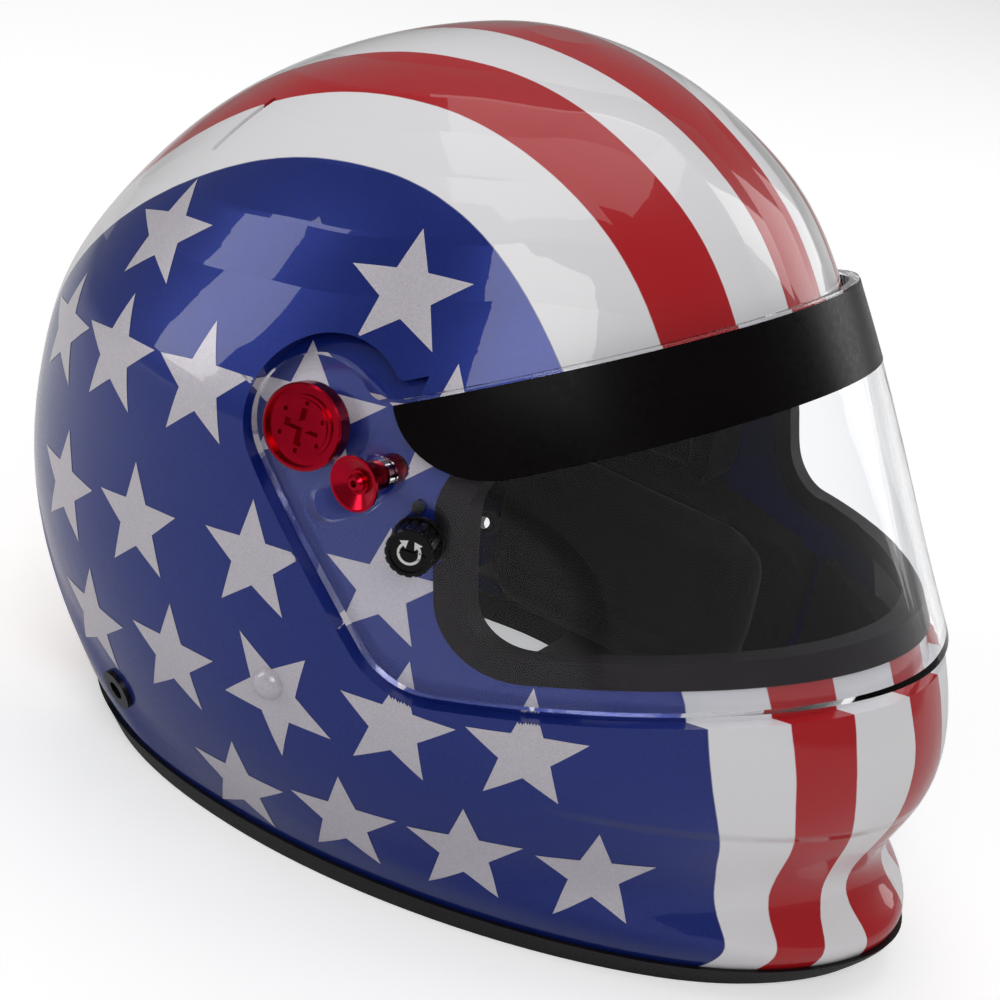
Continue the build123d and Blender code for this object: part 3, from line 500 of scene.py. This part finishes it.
STAR_STRETCH = 2.6

# A figure laid on a surface is dropped from this height, and looks this far, in m
LAY_ABOVE = 0.02
LAY_REACH = 0.05
FACING_SPREAD = 0.006

outside = tree_of("outer_shell")


def star_cells():
    """A star of unit radius as small triangles, so that it can follow the shell."""
    mesh = bmesh.new()
    middle = mesh.verts.new((0, 0, 0))
    ring = []
    for k in range(10):
        reach = 1.0 if k % 2 == 0 else STAR_WAIST
        turn = math.radians(36.0 * k)
        ring.append(mesh.verts.new((math.sin(turn) * reach, math.cos(turn) * reach, 0)))
    for k in range(10):
        mesh.faces.new((middle, ring[(k + 1) % 10], ring[k]))
    bmesh.ops.subdivide_edges(mesh, edges=mesh.edges[:], cuts=STAR_CELLS, use_grid_fill=True)
    bmesh.ops.triangulate(mesh, faces=mesh.faces[:])
    points = [v.co.copy() for v in mesh.verts]
    mesh.verts.index_update()
    faces = [[v.index for v in f.verts] for f in mesh.faces]
    mesh.free()
    return points, faces


cell_points, cell_faces = star_cells()


def lay(target, tree, points, faces, middle, normal, up, size, lift, stretch):
    """Adds a flat figure to a mesh, dropped along the normal on the faces of a tree."""
    up = (up - normal * up.dot(normal)).normalized()
    side = up.cross(normal)
    placed = []
    for p in points:
        start = middle + side * (p.x * size) + up * (p.y * size) + normal * LAY_ABOVE
        hit, face_normal, _, _ = tree.ray_cast(start, -normal, LAY_REACH)
        placed.append(None if hit is None else target.verts.new(hit + face_normal * lift))
    for face in faces:
        corners = [placed[i] for i in face]
        if None in corners:
            continue
        laid = max((corners[k].co - corners[k - 1].co).length for k in range(3))
        flat = max((points[face[k]] - points[face[k - 1]]).length for k in range(3)) * size
        if laid < flat * stretch:
            target.faces.new(corners)


def mean_facing(point):
    """Average facing of the shell round a point, outwards."""
    total = Vector()
    for _, facing, _, _ in outside.find_nearest_range(point, FACING_SPREAD):
        total += facing
    return total.normalized()


stars = bmesh.new()
eye = Vector(CAMERA_PLACE)
for x, y, tip_x, tip_y in STARS.values():
    hit = outside.ray_cast(eye, sight(x, y))[0]
    normal = mean_facing(hit)
    tip_ray = sight(tip_x, tip_y)
    up = eye + tip_ray * ((hit - eye).dot(normal) / tip_ray.dot(normal)) - hit
    size = min(STAR_MOST, max(STAR_LEAST, up.length))
    for mirror in (1.0, -1.0):
        flip = Vector((mirror, 1.0, 1.0))
        lay(
            stars, outside, cell_points, cell_faces, hit * flip, normal * flip, up * flip, size,
            STAR_LIFT, STAR_STRETCH,
        )
loose = [v for v in stars.verts if not v.link_faces]
bmesh.ops.delete(stars, geom=loose, context="VERTS")
piece("painted_stars", meshed("painted_stars", stars), silver, "helmet")

# White turning arrow printed on the face of the lock knob, in m

KNOB_PLACE = Vector((-0.113448, -0.039, 0.1345))
KNOB_FACING = Vector((-0.926183, -0.369407, 0.075651)).normalized()
ARROW_RADIUS = 0.0031
ARROW_LINE = 0.0008
ARROW_GAP = 48
ARROW_HEAD = 0.0014
ARROW_STEPS = 40
ARROW_LIFT = 0.00015
ARROW_STRETCH = 4.0


def arrow_cells():
    """An arc open at its top with a head on each end, as small triangles."""
    points = []
    faces = []
    for k in range(ARROW_STEPS + 1):
        a = math.radians(90 + ARROW_GAP + (360 - 2 * ARROW_GAP) * k / ARROW_STEPS)
        for reach in (ARROW_RADIUS - ARROW_LINE / 2, ARROW_RADIUS + ARROW_LINE / 2):
            points.append(Vector((math.cos(a) * reach, math.sin(a) * reach, 0)))
        if k:
            j = 2 * k
            faces += [[j - 2, j - 1, j + 1], [j - 2, j + 1, j]]
    for sign in (1, -1):
        a = math.radians(90 + sign * ARROW_GAP)
        out = Vector((math.cos(a), math.sin(a), 0))
        on = Vector((out.y, -out.x, 0)) * sign
        first = len(points)
        base = out * ARROW_RADIUS
        points += [base - out * ARROW_HEAD, base + out * ARROW_HEAD, base + on * (1.5 * ARROW_HEAD)]
        faces.append([first, first + 1, first + 2] if sign > 0 else [first + 1, first, first + 2])
    return points, faces


arrow_points, arrow_faces = arrow_cells()
arrow = bmesh.new()
lay(
    arrow, tree_of("lock_knob"), arrow_points, arrow_faces, KNOB_PLACE, KNOB_FACING, Vector((0, 0, 1)), 1.0,
    ARROW_LIFT, ARROW_STRETCH,
)
piece("knob_arrow", meshed("knob_arrow", arrow), white_mark, "lock")

# Soft pieces: skins filled by a cloth simulation and held inside their CAD solids

SOFT_FRAMES = 20
SOFT_PRESSURE = 4.0
SOFT_SHRINK = 0.0015
SOFT_MOVE = 0.006
SEAM_WIDTH = 0.0035
SEAM_DEPTH = 0.0014
LINER_SEAMS = (0.030, 0.062)
PAD_SEAMS = (0.088, 0.046)
ROLL_MIDDLE = 0.02
ROLL_RADIUS = 0.1
ROLL_PITCH = 0.06


def applied(obj):
    """Bakes the modifiers of an object into its mesh."""
    graph = bpy.context.evaluated_depsgraph_get()
    mesh = bpy.data.meshes.new_from_object(obj.evaluated_get(graph))
    obj.modifiers.clear()
    obj.data = mesh


def skinned(name, node, voxel):
    """An even skin over a CAD solid, a little smaller than the solid."""
    made = bpy.data.objects.new(name, nodes[node].data.copy())
    scene.collection.objects.link(made)
    remesh = made.modifiers.new("skin", "REMESH")
    remesh.mode = "VOXEL"
    remesh.voxel_size = voxel
    applied(made)
    for v in made.data.vertices:
        v.co -= v.normal * SOFT_SHRINK
    return made


def filled(made):
    """Fills a skin with pressure, as stuffing does."""
    cushion = made.modifiers.new("filling", "CLOTH")
    cushion.settings.quality = 4
    cushion.settings.mass = 0.2
    cushion.settings.tension_stiffness = 20.0
    cushion.settings.compression_stiffness = 20.0
    cushion.settings.bending_stiffness = 2.0
    cushion.settings.use_pressure = True
    cushion.settings.uniform_pressure_force = SOFT_PRESSURE
    cushion.settings.effector_weights.gravity = 0.0
    cushion.point_cache.frame_start = 1
    cushion.point_cache.frame_end = SOFT_FRAMES
    for k in range(1, SOFT_FRAMES + 1):
        scene.frame_set(k)
    start = [v.co.copy() for v in made.data.vertices]
    applied(made)
    for v, old in zip(made.data.vertices, start):
        move = v.co - old
        if move.length > SOFT_MOVE:
            v.co = old + move.normalized() * SOFT_MOVE
    scene.frame_set(1)


def inside(made, tree, seams):
    """Brings a skin back inside its solid and presses its seams in."""
    made.data.update()
    presses = [(v.normal.copy(), seams(v.co)) for v in made.data.vertices]
    for v, (normal, press) in zip(made.data.vertices, presses):
        near, facing, _, _ = tree.find_nearest(v.co)
        if (v.co - near).dot(facing) > 0:
            v.co = near
        v.co -= normal * (press * SEAM_DEPTH)


def softened(node, voxel, seams):
    """Stands a filled cushion in for a soft CAD piece."""
    name = "soft_" + node
    made = skinned(name, node, voxel)
    filled(made)
    inside(made, tree_of(node), seams)
    smooth = made.modifiers.new("smooth", "SUBSURF")
    smooth.levels = 1
    smooth.render_levels = 1
    applied(made)
    mesh = made.data
    bpy.data.objects.remove(made)
    cushion = piece(name, mesh, fabric, "helmet")
    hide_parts(node)


def groove(distance):
    """Depth share of a seam at a distance from its line."""
    return max(0.0, 1.0 - abs(distance) / SEAM_WIDTH)


def liner_seams(p):
    """Lengthwise panels of the comfort liner."""
    return max(groove(abs(p.x) - seam) for seam in LINER_SEAMS)


def pad_seams(p):
    """A high and a low seam across a cheek pad."""
    return max(groove(p.z - seam) for seam in PAD_SEAMS)


def roll_seams(p):
    """Cross seams of the neck roll, at even steps round the neck."""
    run = math.atan2(p.x, p.y - ROLL_MIDDLE) * ROLL_RADIUS
    return groove((run + ROLL_PITCH / 2) % ROLL_PITCH - ROLL_PITCH / 2)


# Each soft piece with the size of its skin's squares and its seams
CUSHIONS = {
    "comfort_liner": (0.004, liner_seams),
    "cheek_pad_right": (0.004, pad_seams),
    "cheek_pad_left": (0.004, pad_seams),
    "neck_roll": (0.0035, roll_seams),
}
for node, (voxel, seams) in CUSHIONS.items():
    softened(node, voxel, seams)

# Chin strap of webbing, in m: both bands come down the shell and turn in below the neck

STRAP_Y = -0.0013
STRAP_WIDTH = 0.025
STRAP_THICK = 0.002
STRAP_TURN = 0.012
STRAP_STEP = 0.002
STRAP_CORNERS = ((0.114, 0.083), (0.111, 0.058), (0.098, 0.024), (0.080, 0.014))
STRAP_Z = 0.014
LEFT_END = 0.006
RIGHT_END = 0.0475
LOOP_X = 0.045
LOOP_HEIGHT = 0.0094
LOOP_WIDTH = 0.0058

# Section of the band: shares of its half width and half thickness
EDGE_IN = 0.4
EDGE_UP = 0.8
FACE_SPOTS = (0.9, 0.6, 0.3, 0.0, -0.3, -0.6, -0.9)

# Stitches of the sewn laps, in m, and the laps: side, and from and to along the strap
STITCH_PITCH = 0.0032
STITCH_INSET = 0.003
STITCH_SIZE = (0.0022, 0.0006, 0.0005)
STITCH_SINK = 0.0001
LAPS = ((-1.0, 0.053, 0.070), (1.0, 0.009, 0.016))


def rounded(corners, radius):
    """A line through corners with its turns rounded, in small even steps."""
    line = [Vector(corners[0])]
    for k in range(1, len(corners) - 1):
        here = Vector(corners[k])
        before = (here - Vector(corners[k - 1])).normalized()
        after = (Vector(corners[k + 1]) - here).normalized()
        turn = math.acos(max(-1.0, min(1.0, before.dot(after))))
        side = (after - before * before.dot(after)).normalized()
        start = here - before * (radius * math.tan(turn / 2))
        line.append(start)
        count = max(2, int(turn / math.radians(6)))
        for j in range(1, count + 1):
            a = turn * j / count
            line.append(start + before * (radius * math.sin(a)) + side * (radius * (1 - math.cos(a))))
    line.append(Vector(corners[-1]))
    fine = [line[0]]
    for a, b in zip(line, line[1:]):
        count = max(1, int((b - a).length / STRAP_STEP))
        fine.extend(a.lerp(b, j / count) for j in range(1, count + 1))
    return fine


def band_section():
    """The flat section of the band with soft edges: across and up."""
    half = STRAP_THICK / 2
    edge = STRAP_WIDTH / 2
    corner = edge - half * EDGE_IN
    rise = half * EDGE_UP
    upper = [(edge * share, half) for share in FACE_SPOTS]
    lower = [(edge * share, -half) for share in reversed(FACE_SPOTS)]
    return [(edge, 0.0), (corner, rise), *upper, (-corner, rise), (-edge, 0.0), (-corner, -rise), *lower,
            (corner, -rise)]


def band(build, line, side, closed=False):
    """Sweeps the section of the band along a line in the X-Z plane."""
    section = band_section()
    sheet = build.loops.layers.uv.verify()
    rings = []
    runs = []
    run = 0.0
    count = len(line)
    for k, here in enumerate(line):
        before = line[k - 1] if closed or k else line[0]
        after = line[(k + 1) % count] if closed or k < count - 1 else line[-1]
        along = (after - before).normalized()
        out = Vector((-along.y, along.x))
        if k:
            run += (here - line[k - 1]).length
        runs.append(run)
        ring = []
        for across, up in section:
            place = here + out * up
            ring.append(build.verts.new((side * place.x, STRAP_Y + across, place.y)))
        rings.append(ring)
    last = count if closed else count - 1
    size = len(section)
    for k in range(last):
        first, second = rings[k], rings[(k + 1) % count]
        run_end = runs[k + 1] if k + 1 < count else runs[k] + STRAP_STEP
        for j in range(size):
            i = (j + 1) % size
            corners = (first[j], first[i], second[i], second[j])
            places = ((runs[k], j), (runs[k], j + 1), (run_end, j + 1), (run_end, j))
            if side < 0:
                corners, places = corners[::-1], places[::-1]
            face = build.faces.new(corners)
            for loop, (u, step) in zip(face.loops, places):
                loop[sheet].uv = (u, section[step % size][0])
    if not closed:
        for ring in (rings[0], rings[-1][::-1]):
            build.faces.new(ring if side > 0 else ring[::-1])


def strap_line(end):
    """The way of the band from the rivet to its end under the neck."""
    return rounded(STRAP_CORNERS + ((end, STRAP_Z),), STRAP_TURN)


def loop_line():
    """The closed turn of the band round the rings' bars."""
    radius = LOOP_WIDTH / 2
    rise = LOOP_HEIGHT / 2 - radius
    line = []
    for lift, start in ((rise, 0), (-rise, 180)):
        for k in range(0, 181, 15):
            a = math.radians(start + k)
            line.append(Vector((LOOP_X + radius * math.cos(a), STRAP_Z + lift + radius * math.sin(a))))
    return line


def stitched(build, side, x_from, x_to, lift):
    """Rows of short stitches in a box round a sewn lap of the strap, on one face of the band."""
    wide = STRAP_WIDTH / 2 - STITCH_INSET
    rows = []
    for k in range(int((x_to - x_from) / STITCH_PITCH) + 1):
        x = x_from + STITCH_PITCH * k
        rows += [(x, wide, 0), (x, -wide, 0)]
    for k in range(int(2 * wide / STITCH_PITCH) + 1):
        y = -wide + STITCH_PITCH * k
        rows += [(x_from, y, 90), (x_to, y, 90)]
    face = STRAP_Z + lift
    for x, y, turn in rows:
        spin = Matrix.Rotation(math.radians(turn), 4, "Z")
        scale = Matrix.Diagonal((*STITCH_SIZE, 1.0))
        place = Matrix.Translation((side * x, STRAP_Y + y, face))
        made = bmesh.ops.create_icosphere(build, subdivisions=2, radius=0.5, matrix=place @ spin @ scale)
        for v in made["verts"]:
            v.co.z = max(v.co.z, face - STITCH_SINK) if lift > 0 else min(v.co.z, face + STITCH_SINK)


# Each side of the strap: its end, its mirror sign, and whether it turns round the rings
BANDS = {"left": (LEFT_END, 1.0, False), "right": (RIGHT_END, -1.0, True)}
for side_name, (end, side, looped) in BANDS.items():
    build = bmesh.new()
    band(build, strap_line(end), side)
    if looped:
        band(build, loop_line(), side, closed=True)
    name = "webbing_" + side_name
    made = piece(name, meshed(name, build), webbing, "helmet")
    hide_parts("chin_strap_" + side_name)
stitches = bmesh.new()
for lift in (STRAP_THICK / 2, -STRAP_THICK / 2):
    for side, x_from, x_to in LAPS:
        stitched(stitches, side, x_from, x_to, lift)
piece("strap_stitches", meshed("strap_stitches", stitches), thread, "helmet")

# Floor, backdrop and lamps

FLOOR_SPAN = 12.0
FLOOR_DROP = 0.0005
FLOOR_TONE = 0.86
FLOOR_GLOW = 0.42
WORLD_SOFT = 0.24
WORLD_SEEN = 1.0
LAMP_AIM = Vector((0, 0, 0.12))


def stage_material():
    """White floor whose own faint light lifts it towards the white backdrop for the camera."""
    s = Shader("stage_white")
    diffuse = s.node("ShaderNodeBsdfDiffuse")
    diffuse.inputs[0].default_value = (FLOOR_TONE, FLOOR_TONE, FLOOR_TONE, 1.0)
    s.set(diffuse.inputs[1], s.ramp(s.noise(4.0), 0.4, 0.6))
    light = s.node("ShaderNodeLightPath")
    seen = s.math("MAXIMUM", light.outputs["Is Camera Ray"], light.outputs["Is Transmission Ray"])
    glow = s.node("ShaderNodeEmission")
    s.set(glow.inputs["Strength"], s.math("MULTIPLY", seen, FLOOR_GLOW))
    both = s.node("ShaderNodeAddShader")
    s.set(both.inputs[0], diffuse.outputs[0])
    s.set(both.inputs[1], glow.outputs[0])
    s.set(s.out.inputs["Surface"], both.outputs[0])
    return s.material


floor_mesh = bpy.data.meshes.new("floor")
corners = [(x * FLOOR_SPAN, y * FLOOR_SPAN, 0) for x, y in ((-1, -1), (1, -1), (1, 1), (-1, 1))]
floor_mesh.from_pydata(corners, [], [(0, 1, 2, 3)])
floor_mesh.materials.append(stage_material())
floor = bpy.data.objects.new("floor", floor_mesh)
scene.collection.objects.link(floor)
floor.location.z = -FLOOR_DROP

world = bpy.data.worlds.new("studio")
scene.world = world
world.use_nodes = True
tree = world.node_tree
tree.nodes.clear()


def backdrop(strength):
    """White world light of one strength."""
    made = tree.nodes.new("ShaderNodeBackground")
    made.inputs[0].default_value = (1.0, 1.0, 1.0, 1.0)
    made.inputs[1].default_value = strength
    return made.outputs[0]


world_out = tree.nodes.new("ShaderNodeOutputWorld")
mixer = tree.nodes.new("ShaderNodeMixShader")
path = tree.nodes.new("ShaderNodeLightPath")
either = tree.nodes.new("ShaderNodeMath")
either.operation = "MAXIMUM"
for source, target in (
    (path.outputs["Is Camera Ray"], either.inputs[0]),
    (path.outputs["Is Transmission Ray"], either.inputs[1]),
    (either.outputs[0], mixer.inputs[0]),
    (backdrop(WORLD_SOFT), mixer.inputs[1]),
    (backdrop(WORLD_SEEN), mixer.inputs[2]),
    (mixer.outputs[0], world_out.inputs[0]),
):
    tree.links.new(source, target)

# Lamps: place, size and power in watts
LAMPS = {
    "key": ((-1.2, -1.0, 1.3), (1.0, 0.7), 9.5),
    "side": ((-1.2, 1.4, 0.9), (0.5, 1.4), 8.0),
    "top": ((0.3, 0.2, 1.8), (1.4, 1.2), 9.0),
    "far": ((1.5, -0.6, 0.8), (0.6, 1.2), 5.0),
}
for name, (place, size, power) in LAMPS.items():
    data = bpy.data.lights.new(name, "AREA")
    data.shape = "RECTANGLE"
    data.size, data.size_y = size
    data.energy = power
    made = bpy.data.objects.new(name, data)
    made.location = place
    made.rotation_mode = "QUATERNION"
    made.rotation_quaternion = (LAMP_AIM - Vector(place)).to_track_quat("-Z", "Y")
    scene.collection.objects.link(made)

scene.view_settings.view_transform = "Standard"
